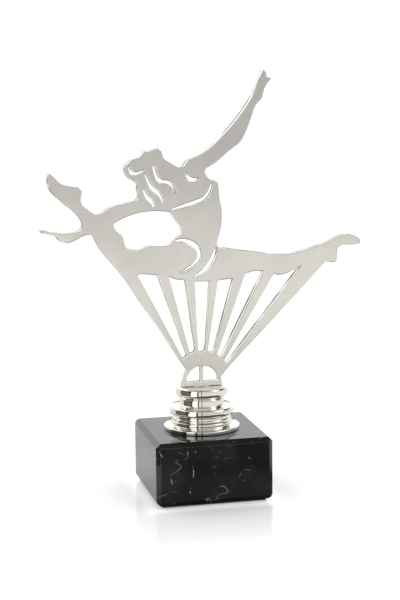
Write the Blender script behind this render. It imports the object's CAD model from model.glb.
from math import pi, radians, tau
import bmesh
import bpy
import numpy as np
from mathutils import Matrix, Vector
from mathutils.geometry import delaunay_2d_cdt


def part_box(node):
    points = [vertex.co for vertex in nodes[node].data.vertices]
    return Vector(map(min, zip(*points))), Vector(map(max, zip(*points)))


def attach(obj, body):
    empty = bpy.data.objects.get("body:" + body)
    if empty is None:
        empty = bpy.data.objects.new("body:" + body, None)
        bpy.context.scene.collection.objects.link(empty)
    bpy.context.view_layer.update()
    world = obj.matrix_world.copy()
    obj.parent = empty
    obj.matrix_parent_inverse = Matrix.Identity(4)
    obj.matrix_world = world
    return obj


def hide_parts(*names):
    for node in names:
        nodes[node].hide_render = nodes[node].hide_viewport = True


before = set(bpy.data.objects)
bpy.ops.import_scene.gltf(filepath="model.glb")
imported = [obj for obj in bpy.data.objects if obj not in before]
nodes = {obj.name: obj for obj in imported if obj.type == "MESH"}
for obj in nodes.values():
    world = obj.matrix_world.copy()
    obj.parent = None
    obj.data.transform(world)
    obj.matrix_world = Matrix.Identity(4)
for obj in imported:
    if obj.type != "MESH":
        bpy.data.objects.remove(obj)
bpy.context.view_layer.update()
scene = bpy.context.scene
scene.view_settings.view_transform = "Standard"   # product white stays white


# small helpers: mesh

# Whole arrays of points and of quads or triangles become one mesh object at the origin.
def newPiece(name, points, faces):
    mesh = bpy.data.meshes.new(name)
    mesh.from_pydata(np.asarray(points, float).tolist(), [], np.asarray(faces).tolist())
    mesh.update()
    obj = bpy.data.objects.new(name, mesh)
    scene.collection.objects.link(obj)
    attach(obj, "root")
    return obj


def softShade(obj, angle):
    obj.data.polygons.foreach_set("use_smooth", np.ones(len(obj.data.polygons), bool))
    obj.data.set_sharp_from_angle(angle=radians(angle))


# A copy of a CAD mesh with its triangles joined up and its flat stretches made one face.
def mergedCopy(name, node):
    mesh = nodes[node].data.copy()
    mesh.name = name
    mesh.materials.clear()
    bm = bmesh.new()
    bm.from_mesh(mesh)
    bmesh.ops.remove_doubles(bm, verts=bm.verts, dist=2e-6)
    bmesh.ops.dissolve_limit(bm, angle_limit=radians(0.4), verts=bm.verts, edges=bm.edges)
    bmesh.ops.recalc_face_normals(bm, faces=bm.faces)
    bm.to_mesh(mesh)
    bm.free()
    obj = bpy.data.objects.new(name, mesh)
    scene.collection.objects.link(obj)
    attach(obj, "root")
    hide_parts(node)
    return obj


def roundEdges(obj, width, segments, angle=40):
    bevel = obj.modifiers.new("edges", "BEVEL")
    bevel.width = width
    bevel.segments = segments
    bevel.limit_method = "ANGLE"
    bevel.angle_limit = radians(angle)
    bevel.harden_normals = True
    bevel.use_clamp_overlap = False
    return bevel


# A closed outline with every corner P eased by its own length e. With a and b the unit steps towards the
# corner before and after it, the curve is (1-t)^2 (P + e a) + 2t(1-t) P + t^2 (P + e b), for all corners at once.
def roundCorners(corners, steps):
    c = np.array([row[:2] for row in corners], float)
    ease = np.array([row[2] for row in corners], float)[:, None]
    toLast = np.roll(c, 1, axis=0) - c
    toNext = np.roll(c, -1, axis=0) - c
    start = c + ease * toLast / np.linalg.norm(toLast, axis=1, keepdims=True)
    end = c + ease * toNext / np.linalg.norm(toNext, axis=1, keepdims=True)
    t = np.linspace(0, 1, steps)[None, :, None]
    out = (1 - t) ** 2 * start[:, None] + 2 * t * (1 - t) * c[:, None] + t ** 2 * end[:, None]
    return out.reshape(-1, 2)


# A turned ring: the closed outline (radius, height) carried once round the axis,
# point(u, v) = (r(v) cos u, r(v) sin u, z(v)). Both directions close on themselves.
def turned(name, corners, base, around=192, steps=7):
    outline = roundCorners(corners, steps) * 0.001
    u = np.linspace(0, tau, around, endpoint=False)[:, None]
    r, z = outline[None, :, 0], outline[None, :, 1]
    points = np.stack([r * np.cos(u), r * np.sin(u), base + z + 0 * u], -1).reshape(-1, 3)
    m = outline.shape[0]
    i, j = np.meshgrid(np.arange(around), np.arange(m), indexing="ij")
    i2, j2 = (i + 1) % around, (j + 1) % m
    faces = np.stack([i * m + j, i2 * m + j, i2 * m + j2, i * m + j2], -1).reshape(-1, 4)
    obj = newPiece(name, points, faces)
    softShade(obj, 28)
    return obj


# small helpers: nodes

def add(tree, kind, at=(0, 0), **values):
    n = tree.nodes.new(kind)
    n.location = at
    for key, value in values.items():
        setattr(n, key, value)
    return n


def wire(tree, a, b):
    tree.links.new(a, b)


def maths(tree, op, a, b=None, clamp=False, c=None):
    n = add(tree, "ShaderNodeMath", operation=op, use_clamp=clamp)
    for k, v in enumerate((a, b, c)):
        if v is None:
            continue
        if isinstance(v, (int, float)):
            n.inputs[k].default_value = v
        else:
            wire(tree, v, n.inputs[k])
    return n.outputs[0]


def noise(tree, where, scale, detail=2.0, rough=0.5, stretch=None):
    if stretch:
        m = add(tree, "ShaderNodeMapping")
        m.inputs["Scale"].default_value = stretch
        wire(tree, where, m.inputs["Vector"])
        where = m.outputs[0]
    n = add(tree, "ShaderNodeTexNoise")
    n.inputs["Scale"].default_value = scale
    n.inputs["Detail"].default_value = detail
    n.inputs["Roughness"].default_value = rough
    wire(tree, where, n.inputs["Vector"])
    return n.outputs["Fac"]


def ramp(tree, value, low, high, a=0.0, b=1.0):
    n = add(tree, "ShaderNodeMapRange", interpolation_type="SMOOTHSTEP")
    for key, v in (("From Min", low), ("From Max", high), ("To Min", a), ("To Max", b)):
        n.inputs[key].default_value = v
    wire(tree, value, n.inputs["Value"])
    return n.outputs[0]


def blendColours(tree, mask, a, b):
    n = add(tree, "ShaderNodeMix", data_type="RGBA")
    wire(tree, mask, n.inputs[0])
    for socket, c in ((n.inputs[6], a), (n.inputs[7], b)):
        if isinstance(c, tuple):
            socket.default_value = (*c, 1)
        else:
            wire(tree, c, socket)
    return n.outputs[2]


def blendValues(tree, mask, a, b):
    n = add(tree, "ShaderNodeMix", data_type="FLOAT")
    wire(tree, mask, n.inputs[0])
    for socket, v in ((n.inputs[2], a), (n.inputs[3], b)):
        if isinstance(v, (int, float)):
            socket.default_value = v
        else:
            wire(tree, v, socket)
    return n.outputs[0]


def effectGroup(name, inputs, outputs):
    g = bpy.data.node_groups.new(name, "ShaderNodeTree")
    for label, value in inputs:
        s = g.interface.new_socket(label, in_out="INPUT", socket_type="NodeSocketFloat")
        s.default_value = value
    for label in outputs:
        g.interface.new_socket(label, in_out="OUTPUT", socket_type="NodeSocketFloat")
    return g, add(g, "NodeGroupInput"), add(g, "NodeGroupOutput")


def useGroup(tree, group, **values):
    n = add(tree, "ShaderNodeGroup", node_tree=group)
    for key, value in values.items():
        n.inputs[key].default_value = value
    return n


def material(name, metallic, roughness=0.5, **constants):
    m = bpy.data.materials.new(name)
    m.use_nodes = True
    tree = m.node_tree
    shader = tree.nodes["Principled BSDF"]
    shader.inputs["Metallic"].default_value = metallic
    shader.inputs["Roughness"].default_value = roughness
    for key, value in constants.items():
        shader.inputs[key.replace("_", " ")].default_value = value
    return m, tree, shader


def bumpInto(tree, shader, height, strength, distance):
    n = add(tree, "ShaderNodeBump")
    n.inputs["Strength"].default_value = strength
    n.inputs["Distance"].default_value = distance
    wire(tree, height, n.inputs["Height"])
    wire(tree, n.outputs[0], shader.inputs["Normal"])


def wear(obj, mat):
    obj.data.materials.clear()
    obj.data.materials.append(mat)


# effects shared by several finishes

# Broad soft clouds from handling and polishing, plus faint short hairlines.
def makeHandling():
    g, gin, gout = effectGroup("handling", (("Cloud Size", 60.0), ("Hairline", 0.3)), ("Clouds", "Lines"))
    where = add(g, "ShaderNodeTexCoord").outputs["Object"]
    cloud = add(g, "ShaderNodeTexNoise")
    cloud.inputs["Detail"].default_value = 3
    wire(g, where, cloud.inputs["Vector"])
    wire(g, gin.outputs["Cloud Size"], cloud.inputs["Scale"])
    wire(g, cloud.outputs["Fac"], gout.inputs["Clouds"])
    lines = noise(g, where, 900, 3, 0.6, stretch=(1.0, 1.0, 0.06))
    wire(g, maths(g, "MULTIPLY", ramp(g, lines, 0.58, 0.72), gin.outputs["Hairline"]), gout.inputs["Lines"])
    return g


# Fine blasted or pressed grain as a height between 0 and 1.
def makeGrain():
    g, gin, gout = effectGroup("grain", (("Size", 3000.0), ("Coarse", 0.4)), ("Height",))
    where = add(g, "ShaderNodeTexCoord").outputs["Object"]
    fine = add(g, "ShaderNodeTexNoise")
    fine.inputs["Detail"].default_value = 3
    fine.inputs["Roughness"].default_value = 0.7
    wire(g, where, fine.inputs["Vector"])
    wire(g, gin.outputs["Size"], fine.inputs["Scale"])
    broad = noise(g, where, 420, 2)
    wire(g, blendValues(g, gin.outputs["Coarse"], fine.outputs["Fac"], broad), gout.inputs["Height"])
    return g


handling = makeHandling()
grain = makeGrain()


# cast gymnast
castLook = {
    "face": (0.72, 0.705, 0.655), "faceRough": 0.42,
    "edge": (0.86, 0.85, 0.82), "edgeRough": 0.07, "rim": (0.035, 0.033, 0.03), "rimFrom": (-0.0008, -0.0002),
    "tone": (0.08, 0.18, 1.33, 0.82),   # height from, height to, brightness at each
    "thick": 0.0045, "foot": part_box("top_collar")[1][2],
    "edgeRadius": 0.0005, "rings": 4, "step": 0.0005, "easing": 2, "grainDepth": 0.000012,
}


def castMaterial(s):
    m, tree, shader = material("blastedSilver", 1.0)
    coord = add(tree, "ShaderNodeTexCoord")
    split = add(tree, "ShaderNodeSeparateXYZ")
    wire(tree, coord.outputs["Normal"], split.inputs[0])
    flat = ramp(tree, maths(tree, "ABSOLUTE", split.outputs["Y"]), 0.93, 0.99)   # 1 on the two flat faces
    touch = useGroup(tree, handling, **{"Cloud Size": 45.0, "Hairline": 0.25})
    speck = useGroup(tree, grain, **{"Size": 5200.0, "Coarse": 0.25})
    cloudy = ramp(tree, touch.outputs["Clouds"], 0.35, 0.65)
    faceTint = blendColours(tree, cloudy, tuple(v * 0.95 for v in s["face"]), tuple(v * 1.04 for v in s["face"]))
    place = add(tree, "ShaderNodeSeparateXYZ")
    wire(tree, coord.outputs["Object"], place.inputs[0])
    toned = add(tree, "ShaderNodeVectorMath", operation="SCALE")   # paler low down
    wire(tree, faceTint, toned.inputs[0])
    wire(tree, ramp(tree, place.outputs["Z"], *s["tone"]), toned.inputs["Scale"])
    # a broken dark line along the rear half of the polished edges
    rim = maths(tree, "MULTIPLY", ramp(tree, place.outputs["Y"], *s["rimFrom"]),
                ramp(tree, noise(tree, coord.outputs["Object"], 70, 2), 0.4, 0.56, 0.3, 1.0))
    dull = maths(tree, "MULTIPLY", rim, maths(tree, "SUBTRACT", 1.0, flat))
    wire(tree, maths(tree, "SUBTRACT", 1.0, dull), shader.inputs["Metallic"])
    shader.inputs["Specular IOR Level"].default_value = 0.15
    edgeTint = blendColours(tree, rim, s["edge"], s["rim"])
    wire(tree, blendColours(tree, flat, edgeTint, toned.outputs[0]), shader.inputs["Base Color"])
    faceRough = maths(tree, "ADD", maths(tree, "MULTIPLY", cloudy, 0.06), s["faceRough"])
    edgeRough = maths(tree, "ADD", maths(tree, "MULTIPLY", touch.outputs["Lines"], 0.2), s["edgeRough"])
    wire(tree, blendValues(tree, flat, edgeRough, faceRough), shader.inputs["Roughness"])
    bumpInto(tree, shader, maths(tree, "MULTIPLY", speck.outputs["Height"], flat), 0.6, s["grainDepth"])
    return m


# The outline of the flat casting and of all its cuts: every edge of the front face's triangles that only
# one of them uses, with the metal on its left, cut into short steps. Gives points (x, z) and each one's next.
def plateOutline(node, frontY, step):
    mesh = nodes[node].data
    spots = np.empty(len(mesh.vertices) * 3)
    mesh.vertices.foreach_get("co", spots)
    corners = np.empty(len(mesh.loops), int)
    mesh.loops.foreach_get("vertex_index", corners)
    spots = spots.reshape(-1, 3)
    _, first, same = np.unique(np.round(spots * 1e6).astype(int), axis=0, return_index=True, return_inverse=True)
    spots, tri = spots[first], same.ravel()[corners].reshape(-1, 3)
    tri = tri[(np.abs(spots[tri][:, :, 1] - frontY) < 2e-6).all(axis=1)]
    a, b = tri.ravel(), np.roll(tri, -1, axis=1).ravel()
    single = ~np.isin(a * len(spots) + b, b * len(spots) + a)
    a, b = a[single], b[single]
    flat = spots[:, [0, 2]]
    count = np.ceil(np.linalg.norm(flat[b] - flat[a], axis=1) / step).astype(int)
    start = np.cumsum(count) - count
    k = np.repeat(np.arange(len(a)), count)
    part = (np.arange(count.sum()) - start[k]) / count[k]
    points = flat[a][k] + (flat[b] - flat[a])[k] * part[:, None]
    firstFrom = np.zeros(len(spots), int)
    firstFrom[a] = start
    follow = np.arange(len(points)) + 1
    follow[start + count - 1] = firstFrom[b]
    return points, follow


# How far each point lies from the nearest stretch of a closed outline, worked out in blocks.
def farFromOutline(points, outline, follow):
    a = outline.astype(np.float32)
    along = (outline[follow] - outline).astype(np.float32)
    length2 = (along ** 2).sum(axis=1)
    far = []
    for block in np.array_split(points.astype(np.float32), max(1, len(points) // 400)):
        dx, dz = block[:, :1] - a[:, 0], block[:, 1:] - a[:, 1]
        t = np.clip((dx * along[:, 0] + dz * along[:, 1]) / length2, 0, 1)
        far.append(np.sqrt(((dx - t * along[:, 0]) ** 2 + (dz - t * along[:, 1]) ** 2).min(axis=1)))
    return np.concatenate(far)


# Whether each point lies in the metal: a ray to its right crosses the outline an odd number of times.
def inMetal(points, outline, follow):
    a, b = outline, outline[follow]
    hits = []
    for block in np.array_split(points, max(1, len(points) // 400)):
        x, z = block[:, :1], block[:, 1:]
        spans = (a[:, 1] > z) != (b[:, 1] > z)
        reach = a[:, 0] + (z - a[:, 1]) * (b[:, 0] - a[:, 0]) / np.where(a[:, 1] == b[:, 1], 1e-9, b[:, 1] - a[:, 1])
        hits.append((spans & (x < reach)).sum(axis=1) % 2 == 1)
    return np.concatenate(hits)


# A flat casting whose edges are rounded by a quarter circle of radius r: at distance d inside the outline
# the face stands sqrt(r^2 - (r - d)^2) above the wall, and is level once d reaches r.
# Rings of points follow the outline inwards, and a Delaunay mesh joins them, so narrow places can't fold.
def castPlate(name, node, s):
    half, r = s["thick"] / 2, s["edgeRadius"]
    outline, follow = plateOutline(node, -half, s["step"])
    before = np.empty_like(follow)
    before[follow] = np.arange(len(follow))
    for _ in range(s["easing"]):   # eases the sharpest corners, as polishing does
        outline = outline * 0.5 + (outline[before] + outline[follow]) * 0.25
    run = outline[follow] - outline
    run /= np.linalg.norm(run, axis=1, keepdims=True)
    side = np.c_[run[:, 1], -run[:, 0]]
    out = side + side[before]
    out /= np.linalg.norm(out, axis=1, keepdims=True)
    mitre = 1 / np.clip((out * side).sum(axis=1), 0.5, 1)
    smooth = out
    for _ in range(2):
        smooth = smooth + smooth[before] + smooth[follow]
        smooth /= np.linalg.norm(smooth, axis=1, keepdims=True)
    turns = np.linspace(0, pi / 2, s["rings"] + 1)[1:]
    inset = r * (1 - np.cos(turns))
    rings = outline[None] - out[None] * (mitre[None, :, None] * inset[:, None, None])
    candidates = rings.reshape(-1, 2)
    wanted = np.repeat(inset, len(outline))
    far = farFromOutline(candidates, outline, follow)
    keep = far > wanted * 0.93
    flat = np.concatenate([outline, candidates[keep]])
    depth = np.clip(np.concatenate([np.zeros(len(outline)), far[keep]]), 0, r)
    outward = np.concatenate([smooth, np.tile(smooth, (s["rings"], 1))[keep]])
    edges = np.c_[np.arange(len(outline)), follow]
    _, _, faces, made, _, _ = delaunay_2d_cdt([Vector(v) for v in flat.tolist()], edges.tolist(), [], 0, 1e-9)
    tri = np.array([m[0] for m in made])[np.array(faces)]
    unsure = (tri < len(outline)).all(axis=1)
    good = ~unsure
    good[unsure] = inMetal(flat[tri[unsure]].mean(axis=1), outline, follow)
    tri = tri[good]
    lean = 1 - depth / r
    rise = np.sqrt(np.clip(1 - lean ** 2, 0, 1))
    front = np.c_[flat[:, 0], -(half - r + r * rise), flat[:, 1]]
    normal = np.c_[outward[:, 0] * lean, -rise, outward[:, 1] * lean]
    flip = np.array([1, -1, 1])
    n = len(front)
    quads = np.c_[edges[:, 1], edges[:, 0], edges[:, 0] + n, edges[:, 1] + n]
    wall = np.concatenate([quads[:, [0, 1, 2]], quads[:, [0, 2, 3]]])
    return (np.concatenate([front, front * flip]), np.concatenate([normal, normal * flip]),
            np.concatenate([tri, tri[:, ::-1] + n, wall]))


# The casting and, below its foot, the CAD's own bored spigot, closed where the casting stood on it.
def castFigure(name, node, s):
    points, normals, triangles = castPlate(name, node, s)
    piece = newPiece(name, points, triangles)
    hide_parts(node)
    bm = bmesh.new()
    bm.from_mesh(nodes[node].data)
    bmesh.ops.remove_doubles(bm, verts=bm.verts, dist=2e-6)
    above = [f for f in bm.faces if f.calc_center_median().z > s["foot"] - 1e-5]
    bmesh.ops.delete(bm, geom=above, context="FACES")
    bmesh.ops.holes_fill(bm, edges=bm.edges)
    spigot = bpy.data.meshes.new("spigot")
    bm.to_mesh(spigot)
    bm.free()
    bm = bmesh.new()
    bm.from_mesh(piece.data)
    bm.from_mesh(spigot)
    bm.to_mesh(piece.data)
    bm.free()
    bpy.data.meshes.remove(spigot)
    softShade(piece, 50)
    every = np.zeros((len(piece.data.vertices), 3))
    every[:len(normals)] = normals
    piece.data.normals_split_custom_set_from_vertices(every.tolist())
    return piece


castGymnast = castFigure("castGymnast", "gymnast_figure", castLook)
wear(castGymnast, castMaterial(castLook))
print("gymnast done:", len(castGymnast.data.polygons), "faces")


# turned collars
# Each row is radius, height, easing of that corner, in mm above the collar's own seat.
collarRings = {
    "bottom": [(3.3, 0, 0.1), (18.0, 0, 0.1), (18.25, 0.25, 0.15), (18.3, 1.95, 0.5), (17.5, 2.2, 0.3),
               (15.9, 2.5, 0.5), (14.75, 2.75, 0.15), (14.6, 3.05, 0.1), (14.62, 3.9, 0.35), (14.3, 4.45, 0.1),
               (14.05, 4.6, 0.1), (14.1, 5.5, 0.35), (13.75, 5.95, 0.1), (13.55, 6.1, 0.1), (13.55, 7, 0.3),
               (13.2, 7.48, 0.1), (3.3, 7.48, 0.1)],
    "middle": [(3.3, 0, 0.1), (14.5, 0, 0.5), (15.5, 0.75, 0.6), (15.6, 2.4, 0.7), (15, 3.7, 0.5),
               (12.8, 4.2, 0.5), (11.3, 4.5, 0.3), (10.85, 4.95, 0.3), (10.8, 7.2, 0.2), (10.6, 7.68, 0.1),
               (4.7, 7.68, 0.1), (4.7, 2.9, 0.1), (3.3, 2.9, 0.1)],
    "top": [(4.7, 0, 0.1), (10.85, 0, 0.1), (11.1, 0.5, 0.3), (12.2, 1.5, 0.6), (12.5, 2.5, 0.4),
            (12.45, 4.6, 0.5), (12, 5.3, 0.35), (11.4, 5.49, 0.2), (4.7, 5.49, 0.1)],
}
collarLook = {"tint": (0.82, 0.8, 0.755), "warm": (0.78, 0.75, 0.68), "rough": 0.045}


def collarMaterial(s):
    m, tree, shader = material("polishedNickel", 1.0)
    coord = add(tree, "ShaderNodeTexCoord")
    split = add(tree, "ShaderNodeSeparateXYZ")
    wire(tree, coord.outputs["Object"], split.inputs[0])
    radius = maths(tree, "SQRT", maths(tree, "ADD", maths(tree, "MULTIPLY", split.outputs["X"], split.outputs["X"]),
                                       maths(tree, "MULTIPLY", split.outputs["Y"], split.outputs["Y"])))
    # rings left by the turning tool follow radius and height, so they run round the collar
    along = add(tree, "ShaderNodeCombineXYZ")
    wire(tree, radius, along.inputs[0])
    wire(tree, split.outputs["Z"], along.inputs[2])
    tool = noise(tree, along.outputs[0], 2600, 2)
    touch = useGroup(tree, handling, **{"Cloud Size": 90.0, "Hairline": 0.4})
    cloudy = ramp(tree, touch.outputs["Clouds"], 0.4, 0.7)
    wire(tree, blendColours(tree, cloudy, s["tint"], s["warm"]), shader.inputs["Base Color"])
    rough = maths(tree, "ADD", maths(tree, "MULTIPLY", cloudy, 0.04),
                  maths(tree, "ADD", maths(tree, "MULTIPLY", touch.outputs["Lines"], 0.12), s["rough"]))
    wire(tree, rough, shader.inputs["Roughness"])
    bumpInto(tree, shader, tool, 0.25, 0.000008)
    return m


nickel = collarMaterial(collarLook)
for part in ("bottom", "middle", "top"):
    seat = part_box(part + "_collar")[0][2]
    ring = turned(part + "Collar", collarRings[part], seat)
    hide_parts(part + "_collar")
    wear(ring, nickel)
print("collars done")


# stone block
stoneLook = {
    "black": (0.008, 0.008, 0.009), "haze": (0.017, 0.017, 0.0175), "vein": (0.34, 0.34, 0.325),
    "veinWidth": 0.007, "rough": 0.045, "level": 0.45, "edgeRadius": 0.00022,
}


def stoneMaterial(s):
    m, tree, shader = material("blackMarble", 0.0, IOR=1.5, Specular_IOR_Level=s["level"])
    where = add(tree, "ShaderNodeTexCoord").outputs["Object"]
    # a vein is where a noise crosses its middle value; a second noise leaves only short stretches of it
    def veinSet(scale, width, stretch, maskScale, low, high):
        line = noise(tree, where, scale, 2, 0.45, stretch)
        near = ramp(tree, maths(tree, "ABSOLUTE", maths(tree, "SUBTRACT", line, 0.5)), 0.0, width, 1.0, 0.0)
        return maths(tree, "MULTIPLY", near, ramp(tree, noise(tree, where, maskScale, 3, 0.6), low, high))

    body = noise(tree, where, 60, 4, 0.6)
    bold = veinSet(42, s["veinWidth"], (1.0, 0.7, 0.6), 170, 0.58, 0.66)
    fine = veinSet(95, s["veinWidth"] * 1.6, (0.6, 0.8, 1.1), 130, 0.5, 0.64)
    cell = add(tree, "ShaderNodeTexVoronoi")   # fossil flecks
    cell.inputs["Scale"].default_value = 210
    wire(tree, where, cell.inputs["Vector"])
    fleck = maths(tree, "MULTIPLY", ramp(tree, cell.outputs["Distance"], 0.05, 0.16, 1.0, 0.0),
                  ramp(tree, noise(tree, where, 120, 2), 0.56, 0.66))
    pale = maths(tree, "MAXIMUM", bold, maths(tree, "MULTIPLY", maths(tree, "MAXIMUM", fine, fleck), 0.4))
    haze = blendColours(tree, ramp(tree, body, 0.45, 0.7), s["black"], s["haze"])
    wire(tree, blendColours(tree, pale, haze, s["vein"]), shader.inputs["Base Color"])
    touch = useGroup(tree, handling, **{"Cloud Size": 40.0, "Hairline": 0.3})
    rough = maths(tree, "ADD", maths(tree, "MULTIPLY", pale, 0.12),
                  maths(tree, "ADD", maths(tree, "MULTIPLY", touch.outputs["Clouds"], 0.03), s["rough"]))
    wire(tree, rough, shader.inputs["Roughness"])
    bumpInto(tree, shader, maths(tree, "ADD", noise(tree, where, 300, 2), maths(tree, "MULTIPLY", pale, -0.6)),
             0.12, 0.00002)
    return m


stoneBlock = mergedCopy("stoneBlock", "marble_base")
softShade(stoneBlock, 25)
roundEdges(stoneBlock, stoneLook["edgeRadius"], 2, 25)
wear(stoneBlock, stoneMaterial(stoneLook))
print("stone done")


# felt underneath
feltLook = {"dark": (0.018, 0.018, 0.021), "pale": (0.05, 0.05, 0.056), "edgeRadius": 0.0003}


def feltMaterial(s):
    m, tree, shader = material("pressedFelt", 0.0, 0.95, Sheen_Weight=0.5, Sheen_Roughness=0.5)
    where = add(tree, "ShaderNodeTexCoord").outputs["Object"]
    fibres = noise(tree, where, 1500, 4, 0.7, stretch=(1, 0.25, 1))
    cross = noise(tree, where, 1500, 4, 0.7, stretch=(0.25, 1, 1))
    mat = maths(tree, "MAXIMUM", fibres, cross)
    speck = useGroup(tree, grain, **{"Size": 2600.0, "Coarse": 0.5})
    tangle = maths(tree, "MULTIPLY", maths(tree, "ADD", mat, speck.outputs["Height"]), 0.5)
    wire(tree, blendColours(tree, ramp(tree, tangle, 0.42, 0.66), s["dark"], s["pale"]), shader.inputs["Base Color"])
    wire(tree, ramp(tree, tangle, 0.3, 0.7, 0.85, 1.0), shader.inputs["Roughness"])
    bumpInto(tree, shader, tangle, 0.8, 0.00015)
    return m


feltSheet = mergedCopy("feltSheet", "felt_pad")
roundEdges(feltSheet, feltLook["edgeRadius"], 3, 40)
softShade(feltSheet, 40)
wear(feltSheet, feltMaterial(feltLook))
print("felt done")


# rod, nut and washers inside the recess
zincLook = {"bright": (0.66, 0.67, 0.69), "blue": (0.56, 0.58, 0.62), "dull": (0.42, 0.41, 0.38), "rough": 0.28}


def zincMaterial(s):
    m, tree, shader = material("zincPlate", 1.0)
    where = add(tree, "ShaderNodeTexCoord").outputs["Object"]
    touch = useGroup(tree, handling, **{"Cloud Size": 220.0, "Hairline": 0.6})
    speck = useGroup(tree, grain, **{"Size": 2400.0, "Coarse": 0.5})
    base = blendColours(tree, ramp(tree, touch.outputs["Clouds"], 0.35, 0.65), s["bright"], s["blue"])
    stain = ramp(tree, noise(tree, where, 380, 4, 0.6), 0.6, 0.75)
    wire(tree, blendColours(tree, stain, base, s["dull"]), shader.inputs["Base Color"])
    wire(tree, maths(tree, "ADD", maths(tree, "MULTIPLY", stain, 0.25), s["rough"]), shader.inputs["Roughness"])
    bumpInto(tree, shader, speck.outputs["Height"], 0.4, 0.00001)
    return m


zinc = zincMaterial(zincLook)
for name in ("threaded_rod", "flat_washer", "spring_washer", "hex_nut"):
    wear(nodes[name], zinc)
print("fasteners done")


# floor, light and camera
studio = {
    "floor": (0.92, 0.92, 0.92), "floorMirrored": (0.72, 0.72, 0.71), "floorRough": 0.14,
    "glossEnds": (0.048, 0.09),
    "front": (0.74, 0.735, 0.72), "back": (1.25, 1.25, 1.25), "behind": (0.22, 0.95, 0.2), "seen": (1.12, 1.12, 1.12),
    "zenith": (0.12, 0.12, 0.12),
    "lamps": [   # place, aim, size, power, tint
        ((-0.9, 0.5, 0.9), (0, 0, 0.05), (0.8, 0.8), 2.5, (1, 1, 1)),
        ((0.9, -0.3, 0.9), (0, 0, 0.05), (0.8, 0.8), 2.5, (1, 0.99, 0.97)),
    ],
    # cards that only mirrors see: bearing and width in degrees from the camera's side of the post
    # (minus is left), distance, foot and top in metres, and how bright they are
    "cards": [
        (-78, 44, 0.11, 0.0, 0.13, (0.16, 0.155, 0.12)),
        (-51, 9, 0.11, 0.0, 0.13, (0.05, 0.045, 0.04)),
        (-32, 22, 0.11, 0.0, 0.13, (1.6, 1.6, 1.58)),
        (-15, 5, 0.11, 0.0, 0.13, (0.03, 0.03, 0.028)),
        (1, 3, 0.11, 0.0, 0.13, (0.04, 0.04, 0.035)),
        (-74, 56, 0.9, 0.0, 0.75, (0.07, 0.068, 0.06)),
        (180, 26, 2.0, 0.0, 0.22, (0.2, 0.2, 0.2)),
        (112, 44, 0.12, 0.075, 0.215, (0.1, 0.098, 0.09)),
    ],
    # where mirrors see the floor dark, in front of the block: middle, full and outer radius, tint
    "dark": ((0.035, -0.1, 0), 0.09, 0.11, (0.07, 0.07, 0.07)),
    "contact": (0.028, 0.037, 0.26),   # the floor's own glow beside the block: from, to, strength
    "eye": (-0.1547, -0.6652, 0.2014), "sight": (0.2234, 0.9621, -0.1565), "above": (0.0457, 0.15, 0.9876),
    "lens": 87.15,
}


def placed(name, mesh, mat, matrix=None):
    obj = bpy.data.objects.new(name, mesh)
    scene.collection.objects.link(obj)
    if matrix:
        obj.matrix_world = matrix
    mesh.materials.append(mat)
    return obj


# A curved upright card: a strip of a cylinder of radius far about the post.
def card(name, bearing, width, far, low, high, glow):
    toEye = np.arctan2(studio["eye"][1], studio["eye"][0])
    t = toEye + np.radians(bearing + np.linspace(-0.5, 0.5, 12) * width)
    ring = np.stack([far * np.cos(t), far * np.sin(t)], -1)
    points = np.concatenate([np.c_[ring, np.full(12, low)], np.c_[ring, np.full(12, high)]])
    k = np.arange(11)
    mesh = bpy.data.meshes.new(name)
    mesh.from_pydata(points.tolist(), [], np.stack([k, k + 1, k + 13, k + 12], -1).tolist())
    m = bpy.data.materials.new(name)
    m.use_nodes = True
    shader = m.node_tree.nodes["Principled BSDF"]
    shader.inputs["Base Color"].default_value = (0, 0, 0, 1)
    shader.inputs["Specular IOR Level"].default_value = 0
    shader.inputs["Emission Color"].default_value = (*glow, 1)
    shader.inputs["Emission Strength"].default_value = 1
    obj = placed(name, mesh, m)
    obj.visible_camera = obj.visible_diffuse = obj.visible_shadow = False


floorMesh = bpy.data.meshes.new("floor")
floorMesh.from_pydata([(-6, -6, 0), (6, -6, 0), (6, 6, 0), (-6, 6, 0)], [], [(0, 1, 2, 3)])
floorLook = bpy.data.materials.new("floorWhite")
floorLook.use_nodes = True
floorShader = floorLook.node_tree.nodes["Principled BSDF"]
floorTree = floorLook.node_tree
onFloor = add(floorTree, "ShaderNodeTexCoord").outputs["Object"]
middle, fullTo, noneFrom, darkTint = studio["dark"]
near = add(floorTree, "ShaderNodeVectorMath", operation="DISTANCE")
wire(floorTree, onFloor, near.inputs[0])
near.inputs[1].default_value = middle
mirrored = blendColours(floorTree, ramp(floorTree, near.outputs["Value"], fullTo, noneFrom),
                        darkTint, studio["floorMirrored"])
floorPath = add(floorTree, "ShaderNodeLightPath")
inMirrors, inCamera = floorPath.outputs["Is Glossy Ray"], floorPath.outputs["Is Camera Ray"]
wire(floorTree, blendColours(floorTree, inMirrors, studio["floor"], mirrored), floorShader.inputs["Base Color"])
floorShader.inputs["Roughness"].default_value = studio["floorRough"]
placed("floor", floorMesh, floorLook)
apart = add(floorTree, "ShaderNodeSeparateXYZ")
wire(floorTree, onFloor, apart.inputs[0])
beside = maths(floorTree, "MAXIMUM", maths(floorTree, "ABSOLUTE", apart.outputs["X"]),
               maths(floorTree, "ABSOLUTE", apart.outputs["Y"]))
sideways = maths(floorTree, "MULTIPLY", maths(floorTree, "ABSOLUTE", apart.outputs["X"]), 1.5)
inFront = maths(floorTree, "MAXIMUM", beside, sideways)
wire(floorTree, ramp(floorTree, inFront, *studio["glossEnds"], 0.5, 0.0), floorShader.inputs["Specular IOR Level"])
lifted = maths(floorTree, "MULTIPLY", ramp(floorTree, beside, *studio["contact"], 0.0), inCamera)
wire(floorTree, lifted, floorShader.inputs["Emission Strength"])
for k, row in enumerate(studio["cards"]):
    card("card" + str(k), *row)

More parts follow.
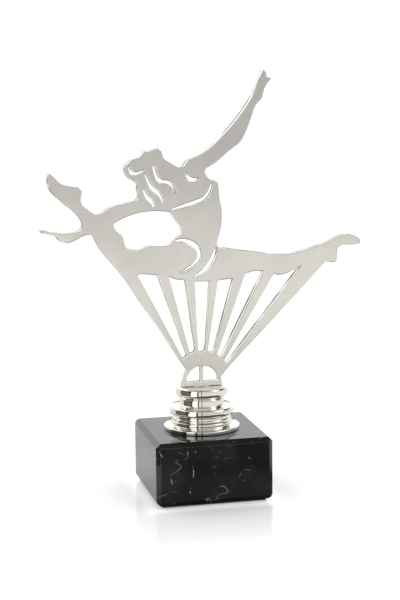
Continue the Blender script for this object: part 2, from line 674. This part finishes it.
# The room: white where the camera looks at it, otherwise darker in front of the trophy than behind it,
# and darkest overhead.
world = bpy.data.worlds.new("studioRoom")
scene.world = world
world.use_nodes = True
tree = world.node_tree
room = tree.nodes["Background"]
towards = add(tree, "ShaderNodeVectorMath", operation="DOT_PRODUCT")
direction = add(tree, "ShaderNodeTexCoord").outputs["Generated"]
wire(tree, direction, towards.inputs[0])
towards.inputs[1].default_value = studio["behind"]
depth = ramp(tree, towards.outputs["Value"], 0.35, 0.85)
around = blendColours(tree, depth, studio["front"], studio["back"])
height = add(tree, "ShaderNodeSeparateXYZ")
wire(tree, direction, height.inputs[0])
overhead = ramp(tree, height.outputs["Z"], 0.8, 0.93)
wire(tree, blendColours(tree, overhead, around, studio["zenith"]), room.inputs["Color"])
seen = add(tree, "ShaderNodeBackground")
seen.inputs["Color"].default_value = (*studio["seen"], 1)
path = add(tree, "ShaderNodeLightPath")
direct = maths(tree, "MAXIMUM", path.outputs["Is Camera Ray"], path.outputs["Is Diffuse Ray"])
pick = add(tree, "ShaderNodeMixShader")
wire(tree, direct, pick.inputs[0])
wire(tree, room.outputs[0], pick.inputs[1])
wire(tree, seen.outputs[0], pick.inputs[2])
wire(tree, pick.outputs[0], tree.nodes["World Output"].inputs["Surface"])

for k, (place, aim, size, power, tint) in enumerate(studio["lamps"]):
    lamp = bpy.data.lights.new("softbox" + str(k), "AREA")
    lamp.shape = "RECTANGLE"
    lamp.size, lamp.size_y = size
    lamp.energy = power
    lamp.color = tint
    box = bpy.data.objects.new("softbox" + str(k), lamp)
    scene.collection.objects.link(box)
    box.location = place
    box.rotation_euler = (Vector(aim) - Vector(place)).to_track_quat("-Z", "Y").to_euler()

camera = bpy.data.cameras.new("camera")
camera.lens = studio["lens"]
camera.sensor_width = 36
camera.clip_start = 0.01
eye = bpy.data.objects.new("camera", camera)
scene.collection.objects.link(eye)
sight = Vector(studio["sight"]).normalized()
side = sight.cross(Vector(studio["above"])).normalized()
turn = Matrix((side, side.cross(sight), -sight)).transposed().to_4x4()
eye.matrix_world = Matrix.Translation(studio["eye"]) @ turn
scene.camera = eye
